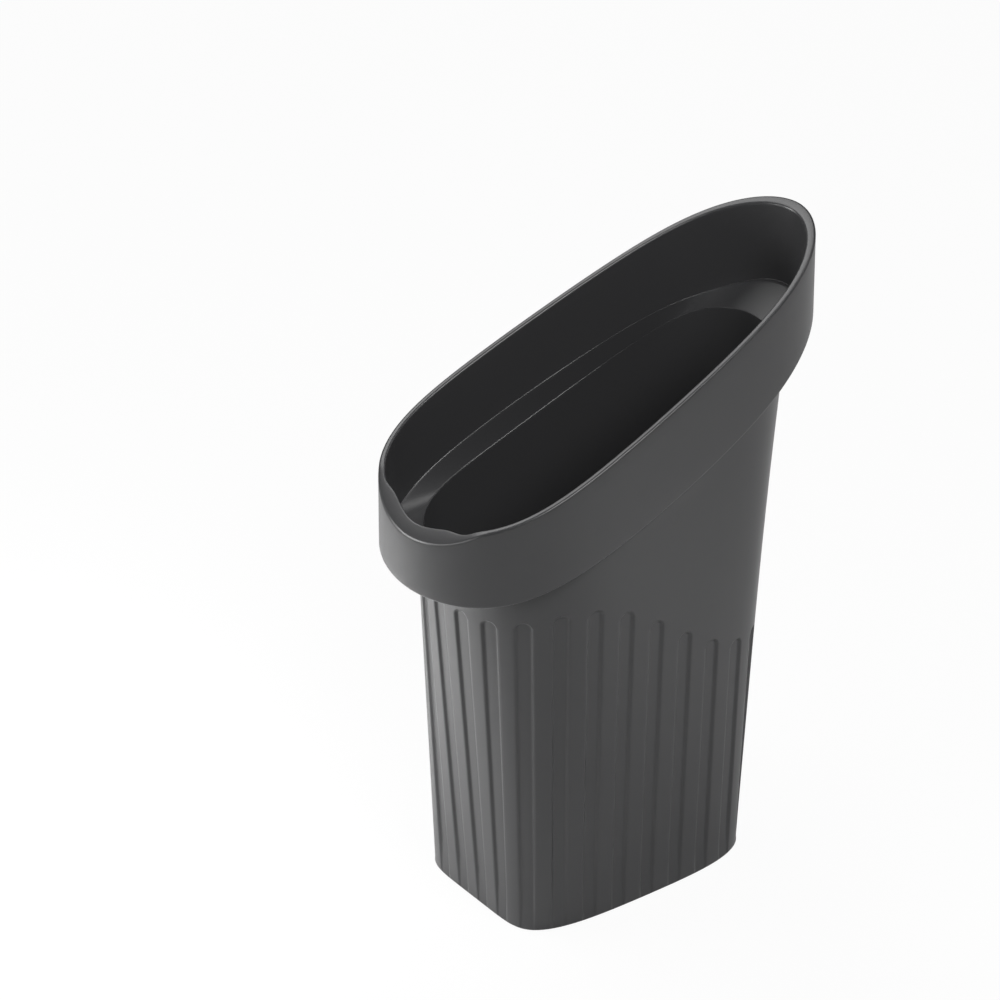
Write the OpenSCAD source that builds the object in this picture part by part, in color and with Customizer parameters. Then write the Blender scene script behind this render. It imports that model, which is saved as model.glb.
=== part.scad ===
// Slim bin for a car door pocket: one moulding with a fluted body, a stepped
// collar whose mouth slants up to the back, and a low pouring lip at the front.
// The length runs along X from the lip to the high end, and Z is up.

/* [Collar] */
// Overall length, from the lip to the high end
length = 176; // [150:1:210]
// Overall width of the collar
collar_w = 82.3; // [70:0.1:95]
// Height of the mouth at the lip end
rim_front_h = 177.3; // [165:0.1:195]
// Height of the mouth at the high end
rim_back_h = 238; // [215:1:260]
// Dip of the mouth's edge below a straight line
rim_sag = 0.6; // [0:0.2:6]
// Wall of the collar at the lip end
rim_front_t = 2.2; // [1.8:0.1:4]
// Wall of the collar at the high end
rim_back_t = 3.8; // [2.5:0.1:7]
// Wall of the collar along its sides
rim_side_t = 2.4; // [1.6:0.1:4]
// Radius on the edges of the mouth
rim_r = 0.7; // [0.3:0.1:0.8]
// Draft of the collar's inside wall
collar_draft = 1; // [0:0.1:1.5]

/* [Shoulder] */
// Height of the collar's lower edge at the lip end
shoulder_front_h = 148.5; // [142:0.5:155]
// Height of the collar's lower edge at the high end
shoulder_back_h = 205.6; // [190:0.1:208]
// Dip of the collar's lower edge below a straight line
shoulder_sag = 8.4; // [3:0.2:10]
// Overhang of the collar past the body at the lip end
front_step = 17.5; // [14:0.5:26]
// Overhang of the collar past the body at the high end
back_step = 15.7; // [8:0.1:20]
// Overhang of the collar past the body along the sides
side_step = 2; // [1.2:0.1:5]
// Radius on the collar's lower edge
shoulder_r = 0.9; // [0.5:0.1:1.2]

/* [Ledge] */
// Rise of the ledge's outer edge above the shoulder at the ends
ledge_end_rise = 2.6; // [2.4:0.1:6]
// Rise of the ledge's outer edge above the shoulder at mid length
ledge_mid_rise = 10.2; // [5:0.2:12]
// Length over which the ledge's outer edge is raised
ledge_span = 141; // [100:1:176]
// Thickness of the ledge's inner side along the long sides
ledge_side_t = 3.9; // [2.2:0.1:5]
// Radius on the ledge's inner edge
ledge_r = 1.2; // [0.5:0.1:2]

/* [Body] */
// Length of the base
base_l = 100.7; // [80:0.1:120]
// Width of the base
base_w = 76.7; // [60:0.1:80]
// Offset of the base towards the lip end
base_shift = 8; // [0:0.2:14]
// Radius round the base
base_r = 0.8; // [0.4:0.1:3]
// Wall of the body
wall = 2.2; // [1.8:0.1:3]
// Thickness of the floor
floor_t = 2.6; // [1.8:0.1:5]
// Radius round the inside of the floor
floor_r = 3; // [1:0.5:5]

/* [Flutes] */
// Number of flutes, with a land at the middle of the lip end
flutes = 27; // [15:2:31]
// Width of each flute
flute_w = 5.6; // [3:0.1:7]
// Depth of each flute
flute_d = 1; // [0.4:0.1:1.2]
// Width of the sloping flanks of a flute
flank_w = 0.4; // [0.1:0.1:0.8]
// Height of the flutes' tops near the lip end
flute_front_h = 138.5; // [120:0.5:140]
// Height of the flutes' tops at the high end
flute_back_h = 92; // [70:1:130]
// Length over which the flutes' tops drop
flute_run = 94; // [60:1:120]
// Dip of the flutes' tops at the very lip end
flute_dip = 3.5; // [0:0.1:8]
// Closer spacing of the flutes at both ends
flute_crowd = 0.0056; // [0:0.0002:0.01]
// Closer spacing of the flutes at the high end only
flute_drift = 0.0016; // [0:0.0002:0.004]

/* [Lip] */
// Drop of the lip's outer edge below the mouth
lip_drop = 6.5; // [4:0.1:12]
// Slope of the lip in degrees
lip_angle = 42; // [30:1:45]
// Thickening of the wall inside the lip
lip_t = 2.7; // [1:0.1:4]
// Width of the thickening
lip_w = 50; // [40:1:56]
// Width of the hollow in the thickening
hollow_w = 26; // [15:1:35]
// Depth of the hollow
hollow_d = 0.6; // [0.1:0.1:1]

/* [Hidden] */
fine = 180;        // steps that trace half an outline
half_n = 54;       // points kept along half an outline
arc_n = 3;         // steps round a small radius
body_steps = 4;    // rings up the body
well_top = 0.96;   // share of the shoulder's height where the inside wall ends
nudge = 0.002;     // share of the outline that gives a flute its direction
dip_run = 18;      // length over which the flutes' tops dip

// An outline is [front x, back x, greatest half width, form], and its form is
// [bluntness of the sides, bluntness of the ends, taper, fullness]
collar_form = [5.28, 1.93, -0.17, -0.15];
mouth_form = [5.4, 1.9, -0.17, -0.15];
shoulder_form = [5.29, 2.03, -0.136, -0.108];
well_form = [6.32, 2.22, -0.065, -0.151];
base_form = [3.98, 6.45, 0.067, -0.044];

collar = [-length / 2, length / 2, collar_w / 2, collar_form];
mouth = [-length / 2 + rim_front_t, length / 2 - rim_back_t, collar_w / 2 - rim_side_t, mouth_form];
shoulder = [-length / 2 + front_step, length / 2 - back_step, collar_w / 2 - side_step, shoulder_form];
well = [shoulder[0] + wall, shoulder[1] - wall, shoulder[2] - ledge_side_t, well_form];
base = [-base_l / 2 - base_shift, base_l / 2 - base_shift, base_w / 2, base_form];

// Height at x of an edge that runs from the lip end to the high end
function edge_z(x, front, back, sag) =
    let (t = (x + length / 2) / length) front + (back - front) * t - 4 * sag * t * (1 - t);
function rim_z(x) = edge_z(x, rim_front_h, rim_back_h, rim_sag);
function shoulder_z(x) = edge_z(x, shoulder_front_h, shoulder_back_h, shoulder_sag);
function ledge_z(x) = shoulder_z(x) +
    mix(ledge_end_rise, ledge_mid_rise, max(0, 1 - pow(2 * x / ledge_span, 2)));

function grown(outline, d) = [outline[0] - d, outline[1] + d, outline[2] + d, outline[3]];
function power(v, n) = sign(v) * pow(abs(v), n);
function mix(a, b, t) = a + (b - a) * t;

// Half an outline, traced from the front round the right side to the back
function half_trace(outline) =
    let (form = outline[3],
         raw = [for (i = [0 : fine])
             let (a = 180 * i / fine, u = -power(cos(a), 2 / form[0]))
             [u, power(sin(a), 2 / form[1]) * (1 + form[2] * u + form[3] * u * u)]],
         widest = max([for (p = raw) p[1]]),
         mid = (outline[0] + outline[1]) / 2,
         reach = (outline[1] - outline[0]) / 2)
    [for (p = raw) [mid + reach * p[0], -outline[2] * p[1] / widest]];

// Distances along a line of points, from its first point
function run_lengths(pts, i = 0, sum = 0, out = []) =
    i == len(pts) ? out :
    let (s = i == 0 ? 0 : sum + norm(pts[i] - pts[i - 1]))
    run_lengths(pts, i + 1, s, concat(out, [s]));

// Closed outline of points at equal spacing, from the front round the right side
function spaced(outline) =
    let (trace = half_trace(outline),
         run = run_lengths(trace),
         total = run[len(run) - 1],
         xs = [for (i = [0 : len(run) - 1]) [run[i], trace[i][0]]],
         ys = [for (i = [0 : len(run) - 1]) [run[i], trace[i][1]]],
         half = [for (i = [0 : half_n]) let (s = total * i / half_n) [lookup(s, xs), lookup(s, ys)]])
    concat(half, [for (i = [half_n - 1 : -1 : 1]) [half[i][0], -half[i][1]]]);

// Smooth fall from 1 to 0 as v goes from a to b
function fall(v, a, b) = (1 + cos(180 * max(0, min(1, (v - a) / (b - a))))) / 2;

// The mouth's outline, thickened at the lip with a hollow in the middle
function lipped(pts) =
    [for (p = pts)
        let (y = abs(p[1]),
             in = lip_t * fall(y, hollow_w / 2, lip_w / 2) - hollow_d * fall(y, 0, hollow_w / 2))
        [p[0] + (p[0] < 0 ? in : 0), p[1]]];

base_pts = spaced(base);
shoulder_pts = spaced(shoulder);
well_pts = spaced(well);
well_base_pts = spaced(grown(base, -wall));
ring_n = len(base_pts);

// Rings at the heights of the slanted edges, raised by dz
function rim_ring(pts, dz) = [for (p = pts) [p[0], p[1], rim_z(p[0]) + dz]];
function shoulder_ring(pts, dz) = [for (p = pts) [p[0], p[1], shoulder_z(p[0]) + dz]];
function ledge_ring(pts) = [for (p = pts) [p[0], p[1], ledge_z(p[0])]];

// Ring of the body at a share of the way up from a low outline to a high one
function body_ring(t, low, high, dz = 0) =
    [for (i = [0 : ring_n - 1])
        concat(mix(low[i], high[i], t), [shoulder_z(high[i][0]) * t + dz])];

// Skin over a stack of rings, closed by its first and last ring
module skin(rings) {
    n = len(rings[0]);
    last = len(rings) - 1;
    polyhedron(
        points = [for (r = rings, p = r) p],
        faces = concat(
            [[for (j = [0 : n - 1]) j]],
            [for (i = [0 : last - 1], j = [0 : n - 1])
                let (k = (j + 1) % n, a = i * n, b = a + n)
                each [[a + j, b + j, b + k], [a + j, b + k, a + k]]],
            [[for (j = [n - 1 : -1 : 0]) last * n + j]]),
        convexity = 8);
}

// Steps of a quarter arc, each as [across, along] for a radius of 1
quarter = [for (i = [0 : arc_n]) [1 - cos(90 * i / arc_n), sin(90 * i / arc_n)]];

outer_rings = concat(
    [for (q = quarter)
        body_ring(0, spaced(grown(base, base_r * (q[1] - 1))), shoulder_pts, base_r * q[0])],
    [for (i = [1 : body_steps]) body_ring(i / body_steps, base_pts, shoulder_pts)],
    [for (q = quarter) shoulder_ring(spaced(grown(collar, shoulder_r * (q[1] - 1))), shoulder_r * q[0])],
    [for (q = quarter) rim_ring(spaced(grown(collar, -rim_r * q[0])), rim_r * (q[1] - 1))]);
inner_rings = concat(
    [for (q = quarter) rim_ring(lipped(spaced(grown(mouth, rim_r * (1 - q[1])))), -rim_r * q[0])],
    [ledge_ring(lipped(spaced(grown(mouth, -collar_draft))))],
    [for (q = quarter)
        shoulder_ring(spaced(grown(well, ledge_r * (1 - q[1]))), ledge_r / 2 - ledge_r * q[0])],
    [for (i = [body_steps : -1 : 1])
        body_ring(well_top * i / body_steps, well_base_pts, well_pts, floor_t * (1 - i / body_steps))],
    [for (q = quarter)
        body_ring(0, spaced(grown(base, -wall - floor_r * q[0])), well_pts,
            floor_t + floor_r * (1 - q[1]))]);

// Point on the body at a share of the way round, and at a height
function body_point(share, z) =
    let (i = share * ring_n, a = floor(i) % ring_n, b = (a + 1) % ring_n, f = i - floor(i),
         low = mix(base_pts[a], base_pts[b], f),
         high = mix(shoulder_pts[a], shoulder_pts[b], f),
         t = z / shoulder_z(high[0]))
    concat(mix(low, high, t), [z]);
function flute_top(x) =
    let (half = flute_run / 2, s = max(-1, min(1, x / half)))
    mix(flute_front_h, flute_back_h, (1 + sin(90 * s)) / 2)
        - flute_dip * pow(max(0, -x - half) / dip_run, 2);

// Share of the way round at which a flute stands
function flute_share(i) =
    let (s = (i + 0.5) / flutes)
    s + flute_drift * sin(360 * s) - flute_crowd * sin(720 * s);

// Round end of a flute: a flat disc with sloping flanks, sunk into the wall
module flute_end(share, z) {
    p = body_point(share, z);
    ahead = body_point(share + nudge, z);
    translate(p)
        rotate([0, 0, atan2(ahead[1] - p[1], ahead[0] - p[0])])
        rotate([-90, 0, 0])
        cylinder(h = 2 * flute_d, r1 = flute_w / 2 + flank_w, r2 = flute_w / 2 - flank_w,
            center = true, $fn = 20);
}

module flute(share) {
    top = flute_top(body_point(share, (flute_front_h + flute_back_h) / 2)[0]);
    hull() {
        flute_end(share, -flute_w);
        flute_end(share, top - flute_w / 2);
    }
}

// Everything above the sloping face of the lip
module lip_cut() {
    translate([-length / 2, 0, rim_front_h - lip_drop])
        rotate([0, -lip_angle, 0])
        translate([-length / 4, -collar_w, 0])
        cube([length / 2, 2 * collar_w, rim_back_h]);
}

module bin() {
    color("dimgray") difference() {
        skin(concat(outer_rings, inner_rings));
        for (i = [0 : flutes - 1]) flute(flute_share(i));
        lip_cut();
    }
}

bin();
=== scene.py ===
# Slim bin for a car door pocket, in satin dark grey plastic, on a pale floor.
import math

import bmesh
import bpy
import numpy as np
from mathutils import Matrix, Vector


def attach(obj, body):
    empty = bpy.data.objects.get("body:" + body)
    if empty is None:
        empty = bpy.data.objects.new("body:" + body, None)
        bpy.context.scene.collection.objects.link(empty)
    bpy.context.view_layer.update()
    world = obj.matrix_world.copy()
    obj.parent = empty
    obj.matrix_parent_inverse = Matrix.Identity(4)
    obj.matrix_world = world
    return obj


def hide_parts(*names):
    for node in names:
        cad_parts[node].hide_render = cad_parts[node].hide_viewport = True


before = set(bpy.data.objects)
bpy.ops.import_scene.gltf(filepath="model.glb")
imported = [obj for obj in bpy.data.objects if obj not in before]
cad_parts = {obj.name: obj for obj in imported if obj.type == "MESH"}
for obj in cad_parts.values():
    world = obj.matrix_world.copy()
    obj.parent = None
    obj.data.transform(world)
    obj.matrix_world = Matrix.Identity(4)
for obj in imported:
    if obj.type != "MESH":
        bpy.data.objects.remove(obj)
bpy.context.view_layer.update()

# The bin's sizes in metres. A form is [bluntness of the sides, bluntness of the ends, taper, fullness].
# The front is the low lip end, towards -X, and the back is the high end.
binShape = {
    "length": 0.176, "width": 0.0823,
    "rimFront": 0.1773, "rimBack": 0.238, "rimSag": 0.0006,
    "wallFront": 0.0022, "wallBack": 0.0038, "wallSide": 0.0024, "rimRadius": 0.00098, "collarDraft": 0.001,
    "shoulderFront": 0.1485, "shoulderBack": 0.2056, "shoulderSag": 0.0084,
    "stepFront": 0.0175, "stepBack": 0.0157, "stepSide": 0.002, "shoulderRadius": 0.0014, "shoulderFillet": 0.0005,
    "ledgeEndRise": 0.0026, "ledgeMidRise": 0.0102, "ledgeSpan": 0.141, "ledgeSide": 0.0039, "bulgeSoftness": 0.1,
    "ledgeStep": 0.0009, "ledgeFillet": 0.0003, "ledgeRadius": 0.0009, "ledgeFade": [0.045, 0.06],
    "baseLength": 0.1007, "baseWidth": 0.0767, "baseShift": 0.008, "baseRadius": 0.0012, "baseMargin": 0.0008,
    "middleInset": 0.02, "wall": 0.0022, "floor": 0.0026, "floorRadius": 0.004,
    "wellTopShare": 0.96, "wellTopRadius": 0.004,
    "collarForm": [5.28, 1.93, -0.17, -0.15], "mouthForm": [5.4, 1.9, -0.17, -0.15],
    "shoulderForm": [5.29, 2.03, -0.136, -0.108], "wellForm": [6.32, 2.22, -0.065, -0.151],
    "baseForm": [3.98, 6.45, 0.067, -0.044],
}
# The flutes: a land stands at the middle of the lip end, and both ends have them a little closer.
# The columns of the mesh stand at these distances from a flute's middle.
fluteShape = {
    "count": 27, "width": 0.0056, "depth": 0.001, "flank": 0.0007, "foot": 0.004, "crowd": 0.0056, "drift": 0.0016,
    "topFront": 0.1385, "topBack": 0.092, "run": 0.094, "dip": 0.0035, "dipRun": 0.018,
    "columns": [0, 0.0008, 0.0015, 0.002, 0.0023, 0.0025, 0.0027, 0.0029, 0.0032, 0.0038, 0.0048],
    "girth": 0.327, "topLevel": 0.77, "topHalf": 0.0034, "archBelow": 0.0004, "archAbove": 0.0006,
    "footSteps": 7, "bodySteps": 9, "archSteps": 20, "plainSteps": 7,
}
lipShape = {
    "drop": 0.0065, "slope": 42, "blend": 0.0005,
    "thickening": 0.0027, "width": 0.050, "hollowWidth": 0.026, "hollow": 0.0006,
}


def edgeHeight(x, front, back, sag):
    t = (x + binShape["length"] / 2) / binShape["length"]
    return front + (back - front) * t - 4 * sag * t * (1 - t)


def shoulderHeight(x):
    return edgeHeight(x, binShape["shoulderFront"], binShape["shoulderBack"], binShape["shoulderSag"])


def rimHeight(x):
    rim = edgeHeight(x, binShape["rimFront"], binShape["rimBack"], binShape["rimSag"])
    rise = math.tan(math.radians(lipShape["slope"])) * (x + binShape["length"] / 2)
    lip = binShape["rimFront"] - lipShape["drop"] + rise
    soft = lipShape["blend"]
    return (rim + lip - np.sqrt((rim - lip) ** 2 + soft ** 2)) / 2


outlineSteps = 1440


def signedPower(v, n):
    return np.sign(v) * np.abs(v) ** n


def outline(front, back, halfWidth, form, grow=0):
    # Points of an outline at the shared columns, from the front round the right side to the back and home
    front, back, halfWidth = front - grow, back + grow, halfWidth + grow
    a = np.linspace(0, math.pi, outlineSteps + 1)
    u = -signedPower(np.cos(a), 2 / form[0])
    y = signedPower(np.sin(a), 2 / form[1]) * (1 + form[2] * u + form[3] * u * u)
    x = (front + back) / 2 + (back - front) / 2 * u
    y = -halfWidth * y / y.max()
    run = np.concatenate([[0], np.cumsum(np.hypot(np.diff(x), np.diff(y)))])
    half = np.where(columnShares > 0.5, 1 - columnShares, columnShares) * 2 * run[-1]
    side = np.where(columnShares > 0.5, -1, 1)
    return np.interp(half, run, x), np.interp(half, run, y) * side


def mixPoints(a, b, t):
    return a + (b - a) * t


def smoothFall(v, a, b):
    return (1 + np.cos(math.pi * np.clip((v - a) / (b - a), 0, 1))) / 2


def ringAt(points, height):
    x, y = points
    return np.stack([x, y, np.broadcast_to(height, x.shape)], axis=1)


def baseOutline(grow=0):
    half, shift = binShape["baseLength"] / 2, binShape["baseShift"]
    return outline(-half - shift, half - shift, binShape["baseWidth"] / 2, binShape["baseForm"], grow)


def shoulderOutline():
    half = binShape["length"] / 2
    return outline(-half + binShape["stepFront"], half - binShape["stepBack"],
                   binShape["width"] / 2 - binShape["stepSide"], binShape["shoulderForm"])


def wellOutline():
    shape = binShape
    half = shape["length"] / 2 - shape["wall"]
    return outline(-half + shape["stepFront"], half - shape["stepBack"],
                   shape["width"] / 2 - shape["stepSide"] - shape["ledgeSide"], shape["wellForm"])


def collarOutline():
    half = binShape["length"] / 2
    return outline(-half, half, binShape["width"] / 2, binShape["collarForm"])


def mouthOutline(grow=0):
    half = binShape["length"] / 2
    x, y = outline(-half + binShape["wallFront"], half - binShape["wallBack"],
                   binShape["width"] / 2 - binShape["wallSide"], binShape["mouthForm"], grow)
    hollowHalf, lipHalf = lipShape["hollowWidth"] / 2, lipShape["width"] / 2
    inward = lipShape["thickening"] * smoothFall(np.abs(y), hollowHalf, lipHalf)
    inward -= lipShape["hollow"] * smoothFall(np.abs(y), 0, hollowHalf)
    return x + np.where(x < 0, inward, 0), y


def bodyRing(height, inset=0):
    # A ring of the body at a height for each column, drawn in along the wall's own direction
    low, high = np.stack(baseOutline(), axis=1), np.stack(shoulderOutline(), axis=1)
    t = (height / shoulderHeight(high[:, 0]))[:, None]
    points = mixPoints(low, high, t)
    along = np.roll(points, -1, axis=0) - np.roll(points, 1, axis=0)
    along /= np.linalg.norm(along, axis=1)[:, None]
    inwards = np.stack([-along[:, 1], along[:, 0]], axis=1)
    points = points + inwards * np.broadcast_to(inset, height.shape)[:, None]
    return np.column_stack([points, height])


def wellRing(share):
    low, high = np.stack(baseOutline(-binShape["wall"]), axis=1), np.stack(wellOutline(), axis=1)
    height = mixPoints(np.full(columnCount, binShape["floor"]), shoulderHeight(high[:, 0]), share)
    return np.column_stack([mixPoints(low, high, share), height])


# A rounding takes up at most this share of a wall, and a step at most this share of a ledge
roundingLimit, stepLimit = 0.48, 0.35


def roundCorner(before, corner, after, radius, steps):
    # Rings that turn smoothly from one wall into the next, column by column
    toBefore, toAfter = before - corner, after - corner
    reachBefore = np.linalg.norm(toBefore, axis=1)[:, None]
    reachAfter = np.linalg.norm(toAfter, axis=1)[:, None]
    start = corner + toBefore * np.minimum(radius / reachBefore, roundingLimit)
    end = corner + toAfter * np.minimum(radius / reachAfter, roundingLimit)
    share = [i / steps for i in range(steps + 1)]
    return [start * (1 - t) ** 2 + corner * 2 * t * (1 - t) + end * t * t for t in share]


def between(a, b, steps):
    return [mixPoints(a, b, i / (steps + 1)) for i in range(1, steps + 1)]


# Columns are the same round every ring and stand close together at the flutes' flanks.
# Each has its share of the way round, from the middle of the lip end.
flutePlace = (np.arange(fluteShape["count"]) + 0.5) / fluteShape["count"]
flutePlace += (fluteShape["drift"] * np.sin(2 * math.pi * flutePlace)
               - fluteShape["crowd"] * np.sin(4 * math.pi * flutePlace))
offsets = np.array(fluteShape["columns"]) / fluteShape["girth"]
landPlace = (flutePlace + np.roll(flutePlace, 1)) / 2
landPlace[0] = 0
columnShares = np.concatenate([[land, *(at - offsets[:0:-1]), *(at + offsets)]
                               for land, at in zip(landPlace, flutePlace)])
columnCount = len(columnShares)
fluteOf = np.arange(columnCount) // (columnCount // fluteShape["count"])


def fluteTops():
    # Height of the flute's top that belongs to each column; the lands between share two
    low, high = baseOutline(), shoulderOutline()
    x = mixPoints(low[0], high[0], fluteShape["topLevel"])
    at = np.interp(flutePlace, columnShares, x)
    half = fluteShape["run"] / 2
    swing = np.sin(math.pi / 2 * np.clip(at / half, -1, 1))
    tops = mixPoints(fluteShape["topFront"], fluteShape["topBack"], (1 + swing) / 2)
    tops -= fluteShape["dip"] * (np.maximum(0, -at - half) / fluteShape["dipRun"]) ** 2
    flat = fluteShape["topHalf"] / fluteShape["girth"]
    knots = np.concatenate([[place - flat, place + flat] for place in flutePlace])
    heights = np.repeat(tops, 2)
    knots = np.concatenate([[knots[-1] - 1], knots, [knots[0] + 1]])
    heights = np.concatenate([[heights[-1]], heights, [heights[0]]])
    return np.interp(columnShares, knots, heights)


def grooveDepth(height, tops):
    # Depth of the flutes at a height for each column: flat floors, soft flanks and round tops
    across = (columnShares - flutePlace[fluteOf]) * fluteShape["girth"]
    above = np.maximum(0, height - (tops - fluteShape["width"] / 2))
    away = np.hypot(across, above)
    half, flank = fluteShape["width"] / 2, fluteShape["flank"]
    deep = fluteShape["depth"] * smoothFall(away, half - flank, half + flank / 2)
    return deep * (1 - smoothFall(height, 0, fluteShape["foot"]))


def bodyRings():
    # The outside of the body: the rounding at the base, the flutes, their arched tops and the plain part above
    tops = fluteTops()
    radius = binShape["baseRadius"]
    footSteps, bodySteps = fluteShape["footSteps"], fluteShape["bodySteps"]
    archSteps, plainSteps = fluteShape["archSteps"], fluteShape["plainSteps"]
    rings = []
    for i in range(footSteps + 1):
        turn = math.pi / 2 * i / footSteps
        height = np.full(columnCount, radius * (1 - math.cos(turn)))
        inset = radius * (1 - math.sin(turn))
        rings.append(bodyRing(height, np.maximum(inset, grooveDepth(height, tops))))
    archLow = tops - fluteShape["width"] / 2 - fluteShape["archBelow"]
    archHigh = tops + fluteShape["archAbove"]
    shoulder = shoulderHeight(shoulderOutline()[0])
    for i in range(1, bodySteps):
        height = mixPoints(np.full(columnCount, radius), archLow, i / bodySteps)
        rings.append(bodyRing(height, grooveDepth(height, tops)))
    for i in range(archSteps + 1):
        height = mixPoints(archLow, archHigh, i / archSteps)
        rings.append(bodyRing(height, grooveDepth(height, tops)))
    for i in range(1, plainSteps):
        rings.append(bodyRing(mixPoints(archHigh, shoulder, i / plainSteps)))
    return rings


def stepTowards(edge, other, reach):
    # A level step from one ring towards another, never more than a share of the way
    gap = (other - edge)[:, :2]
    share = np.minimum(reach / np.hypot(gap[:, 0], gap[:, 1]), stepLimit)
    place = edge.copy()
    place[:, :2] += gap * share[:, None]
    return place


def binRings():
    # The whole skin, from the middle of the underside up the outside and down the inside to the floor
    shape = binShape
    middle = baseOutline(-shape["middleInset"])
    underside = [ringAt(middle, 0), ringAt(baseOutline(-shape["baseRadius"] - shape["baseMargin"]), 0)]
    body = bodyRings()
    shoulder = shoulderOutline()
    shoulderCorner = ringAt(shoulder, shoulderHeight(shoulder[0]))
    collar = collarOutline()
    collarLow = ringAt(collar, shoulderHeight(collar[0]))
    collarHigh = ringAt(collar, rimHeight(collar[0]))
    mouth = mouthOutline()
    mouthHigh = ringAt(mouth, rimHeight(mouth[0]))
    foot = mouthOutline(-shape["collarDraft"])
    bulge = 1 - (2 * foot[0] / shape["ledgeSpan"]) ** 2
    bulge = (bulge + np.sqrt(bulge ** 2 + shape["bulgeSoftness"] ** 2)) / 2
    rise = mixPoints(shape["ledgeEndRise"], shape["ledgeMidRise"], bulge)
    ledgeOuter = ringAt(foot, shoulderHeight(foot[0]) + rise)
    well = wellOutline()
    ledgeInner = ringAt(well, shoulderHeight(well[0]))
    ledgeStep = stepTowards(ledgeOuter, ledgeInner, shape["ledgeStep"])
    # The wall under the ledge gets thin at the high end, so the inner step fades there
    room = smoothFall(well[0], *shape["ledgeFade"])
    ledgeFoot = stepTowards(ledgeInner, ledgeOuter, mixPoints(shape["ledgeFillet"] / 2, shape["ledgeStep"], room))
    wellTop = wellRing(shape["wellTopShare"])
    floorCorner = wellRing(0)
    floorMiddle = ringAt(middle, shape["floor"])

    # Each corner has its ring, its radius and its steps. The spans are the rings on the walls between them.
    corners = [
        (shoulderCorner, shape["shoulderFillet"], 5), (collarLow, shape["shoulderRadius"], 8),
        (collarHigh, shape["rimRadius"], 6), (mouthHigh, shape["rimRadius"], 6),
        (ledgeOuter, shape["ledgeFillet"], 3), (ledgeStep, shape["ledgeRadius"], 6),
        (ledgeFoot, shape["ledgeFillet"], 3), (ledgeInner, shape["ledgeRadius"], 6),
        (wellTop, shape["wellTopRadius"], 3), (floorCorner, shape["floorRadius"], 6),
    ]
    spans = [3, 5, 1, 5, 0, 2, 0, 1, 8, 0]
    rings = underside + body
    before = body[-1]
    for i, (corner, radius, steps) in enumerate(corners):
        after = corners[i + 1][0] if i + 1 < len(corners) else floorMiddle
        turn = roundCorner(before, corner, after, radius, steps)
        if i:
            rings += between(rings[-1], turn[0], spans[i - 1])
        rings += turn
        before = corner
    return rings + [floorMiddle]


def growSkin(rings):
    # One loop of edges is extruded ring by ring and closed at both ends
    mesh = bmesh.new()
    loop = bmesh.ops.create_circle(mesh, cap_ends=False, segments=columnCount, radius=1)["verts"]
    for vert, place in zip(loop, rings[0]):
        vert.co = place
    edges = mesh.edges[:]
    bmesh.ops.edgeloop_fill(mesh, edges=edges)
    for ring in rings[1:]:
        made = bmesh.ops.extrude_edge_only(mesh, edges=edges)["geom"]
        fresh = {v for v in made if isinstance(v, bmesh.types.BMVert)}
        edges = [e for e in made if isinstance(e, bmesh.types.BMEdge) and fresh.issuperset(e.verts)]
        loop = [next(e.other_vert(v) for e in v.link_edges if e.other_vert(v) in fresh) for v in loop]
        for vert, place in zip(loop, ring):
            vert.co = place
    bmesh.ops.edgeloop_fill(mesh, edges=edges)
    bmesh.ops.recalc_face_normals(mesh, faces=mesh.faces[:])
    return mesh


def makeObject(name, mesh, smooth=True):
    data = bpy.data.meshes.new(name)
    mesh.to_mesh(data)
    mesh.free()
    for face in data.polygons:
        face.use_smooth = smooth
    thing = bpy.data.objects.new(name, data)
    bpy.context.collection.objects.link(thing)
    return thing


binSkin = makeObject("binSkin", growSkin(binRings()))
print("bin modelled,", len(binSkin.data.polygons), "faces")


# Shader maths as plain expressions
class Wire:
    def __init__(self, tree, socket):
        self.tree = tree
        self.socket = socket

    def node(self, kind, settings=None, inputs=None, output=0):
        made = self.tree.nodes.new(kind)
        for key, value in (settings or {}).items():
            setattr(made, key, value)
        for key, value in (inputs or {}).items():
            if isinstance(value, Wire):
                self.tree.links.new(value.socket, made.inputs[key])
            else:
                made.inputs[key].default_value = value
        return Wire(self.tree, made.outputs[output]) if made.outputs else None

    def maths(self, operation, a, b):
        return self.node("ShaderNodeMath", {"operation": operation}, {0: a, 1: b})

    def __radd__(self, other):
        return self.maths("ADD", other, self)

    def __sub__(self, other):
        return self.maths("SUBTRACT", self, other)

    def __mul__(self, other):
        return self.maths("MULTIPLY", self, other)


def newMaterial(name):
    material = bpy.data.materials.new(name)
    material.use_nodes = True
    tree = material.node_tree
    tree.nodes.clear()
    return material, Wire(tree, None)


plasticLook = {
    "colour": (0.043, 0.043, 0.0446, 1), "worn": (0.047, 0.047, 0.0488, 1), "cloud": 22.0, "cloudDetail": 3.0,
    "roughness": 0.29, "roughnessSwing": 0.03, "grain": 1500.0, "grainDetail": 2.0,
    "grainDepth": 0.00002, "grainStrength": 0.12,
}


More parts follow.
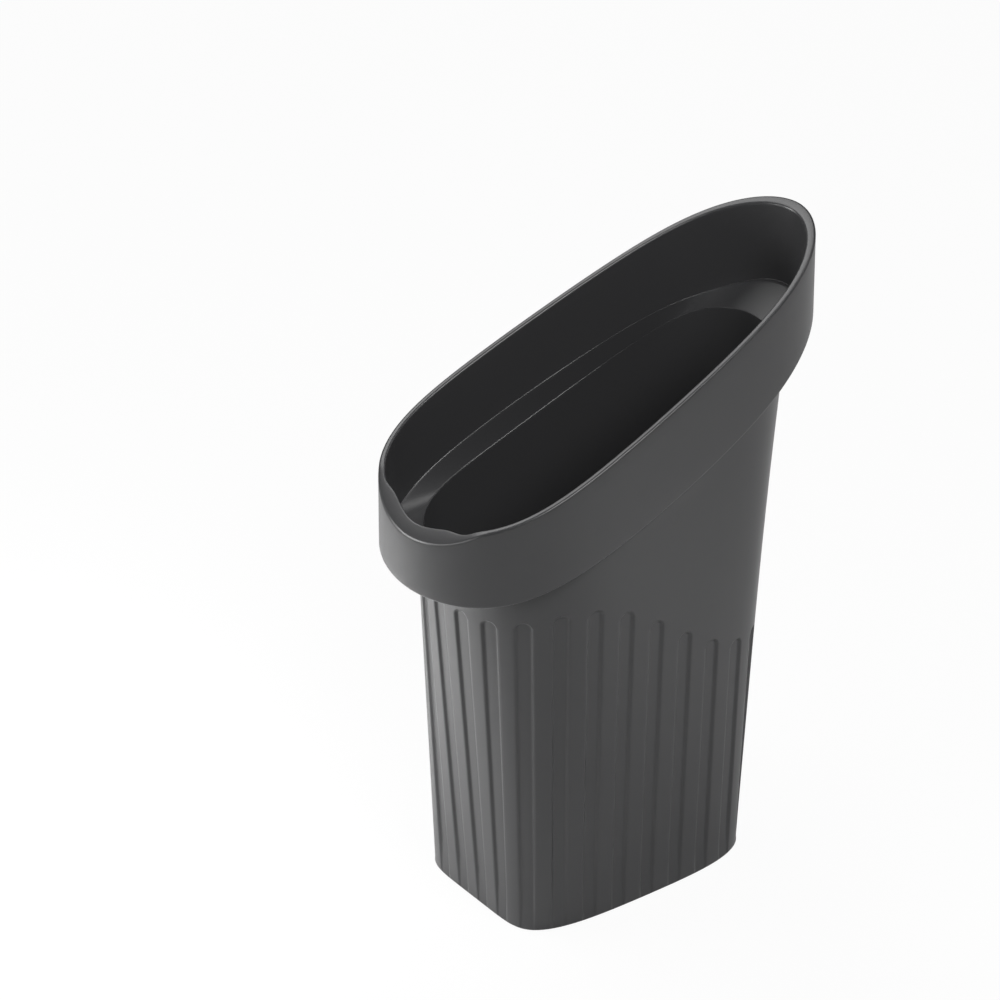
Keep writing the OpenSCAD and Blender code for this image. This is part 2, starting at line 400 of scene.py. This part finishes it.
def satinPlastic():
    look = plasticLook
    material, make = newMaterial("satinPlastic")
    place = make.node("ShaderNodeTexCoord", output="Object")
    cloud = make.node("ShaderNodeTexNoise", inputs={
        "Vector": place, "Scale": look["cloud"], "Detail": look["cloudDetail"]})
    grain = make.node("ShaderNodeTexNoise", inputs={
        "Vector": place, "Scale": look["grain"], "Detail": look["grainDetail"]})
    colour = make.node("ShaderNodeMix", {"data_type": "RGBA"},
                       {"Factor": cloud, 6: look["colour"], 7: look["worn"]}, output=2)
    bump = make.node("ShaderNodeBump", inputs={
        "Strength": look["grainStrength"], "Distance": look["grainDepth"], "Height": grain})
    roughness = look["roughness"] + (cloud - 0.5) * look["roughnessSwing"]
    shader = make.node("ShaderNodeBsdfPrincipled", inputs={
        "Base Color": colour, "Roughness": roughness, "Normal": bump})
    make.node("ShaderNodeOutputMaterial", inputs={"Surface": shader})
    return material


binSkin.data.materials.append(satinPlastic())
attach(binSkin, "root")
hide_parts("bin")
print("bin finished in satin plastic")

# The floor looks white to the camera and still takes the bin's soft shadow
floorLook = {"size": 12, "colour": (0.7, 0.7, 0.7, 1), "glow": 0.94}


def paleFloor():
    material, make = newMaterial("paleFloor")
    path = make.node("ShaderNodeLightPath", output="Is Camera Ray")
    matt = make.node("ShaderNodeBsdfDiffuse", inputs={"Color": floorLook["colour"]})
    glow = make.node("ShaderNodeEmission", inputs={"Color": (1, 1, 1, 1), "Strength": 1.0})
    seen = make.node("ShaderNodeMixShader", inputs={"Fac": path * floorLook["glow"], 1: matt, 2: glow})
    make.node("ShaderNodeOutputMaterial", inputs={"Surface": seen})
    mesh = bmesh.new()
    bmesh.ops.create_grid(mesh, x_segments=1, y_segments=1, size=floorLook["size"] / 2)
    floor = makeObject("floor", mesh, smooth=False)
    floor.data.materials.append(material)


paleFloor()

# Each softbox: where it stands, what it faces, its size in metres, its power in watts.
# The two low ones face down and light the floor, which throws a soft sheen up the bin's sides.
lampSetup = {
    "left": {"place": (-1.15, 0.8, 0.25), "aim": (0, 0, 0.1), "size": (0.5, 0.5), "power": 8.5},
    "leftFloor": {"place": (-0.18, 0.14, 0.13), "aim": (-0.18, 0.14, 0), "size": (0.16, 0.16), "power": 0.62},
    "frontFloor": {"place": (0.13, -0.16, 0.1), "aim": (0.13, -0.16, 0), "size": (0.12, 0.12), "power": 0.06},
    "back": {"place": (0.05, 1.2, 1.5), "aim": (0, 0, 0.2), "size": (0.8, 0.6), "power": 7},
    "backLeft": {"place": (-0.5, 0.9, 1.2), "aim": (0, 0, 0.2), "size": (0.5, 0.5), "power": 3},
    "front": {"place": (-0.05, -0.8, 1.25), "aim": (0, 0, 0.2), "size": (0.6, 0.6), "power": 13},
    "edges": {"place": (0.78, -0.25, 1.35), "aim": (0, 0, 0.2), "size": (0.5, 0.5), "power": 2.2},
    "mouth": {"place": (-1.35, 0.2, 0.5), "aim": (0, 0, 0.2), "size": (0.3, 0.3), "power": 2.5},
}
# How much light the room itself gives; the camera sees it white
roomLevel = 0.03


def softbox(name, place, target, size, power):
    light = bpy.data.lights.new(name, "AREA")
    light.shape, light.size, light.size_y, light.energy = "RECTANGLE", size[0], size[1], power
    lamp = bpy.data.objects.new(name, light)
    lamp.location = place
    lamp.rotation_euler = (Vector(target) - Vector(place)).to_track_quat("-Z", "Y").to_euler()
    bpy.context.collection.objects.link(lamp)


for name, lamp in lampSetup.items():
    softbox(name, lamp["place"], lamp["aim"], lamp["size"], lamp["power"])

world = bpy.data.worlds.new("room")
world.use_nodes = True
bpy.context.scene.world = world
world.node_tree.nodes.clear()
make = Wire(world.node_tree, None)
seen = make.node("ShaderNodeLightPath", output="Is Camera Ray")
strength = roomLevel + seen * (1 - roomLevel)
backdrop = make.node("ShaderNodeBackground", inputs={"Color": (1, 1, 1, 1), "Strength": strength})
make.node("ShaderNodeOutputWorld", inputs={"Surface": backdrop})
bpy.context.scene.view_settings.view_transform = "Standard"
print("stage and lamps set")

# The photograph's view: turn and tilt in degrees, focal length in image widths, sensor in mm, the rest in metres
viewSetup = {
    "turn": 38.057, "tilt": 33.801, "focal": 6.5002, "distance": 2.31513, "sensor": 36,
    "aim": (0, 0, 0.101895), "across": 0.036379, "up": -0.038756,
}


def placeCamera():
    turn, tilt = math.radians(viewSetup["turn"]), math.radians(viewSetup["tilt"])
    ahead = Vector((math.sin(turn) * math.cos(tilt), math.cos(turn) * math.cos(tilt), -math.sin(tilt)))
    right = Vector((math.cos(turn), -math.sin(turn), 0))
    upward = right.cross(ahead)
    data = bpy.data.cameras.new("camera")
    data.sensor_width = viewSetup["sensor"]
    data.lens = data.sensor_width * viewSetup["focal"]
    camera = bpy.data.objects.new("camera", data)
    offset = right * viewSetup["across"] + upward * viewSetup["up"] + ahead * viewSetup["distance"]
    spot = Vector(viewSetup["aim"]) - offset
    axes = Matrix((right, upward, -ahead)).transposed().to_4x4()
    camera.matrix_world = Matrix.Translation(spot) @ axes
    bpy.context.collection.objects.link(camera)
    bpy.context.scene.camera = camera


placeCamera()
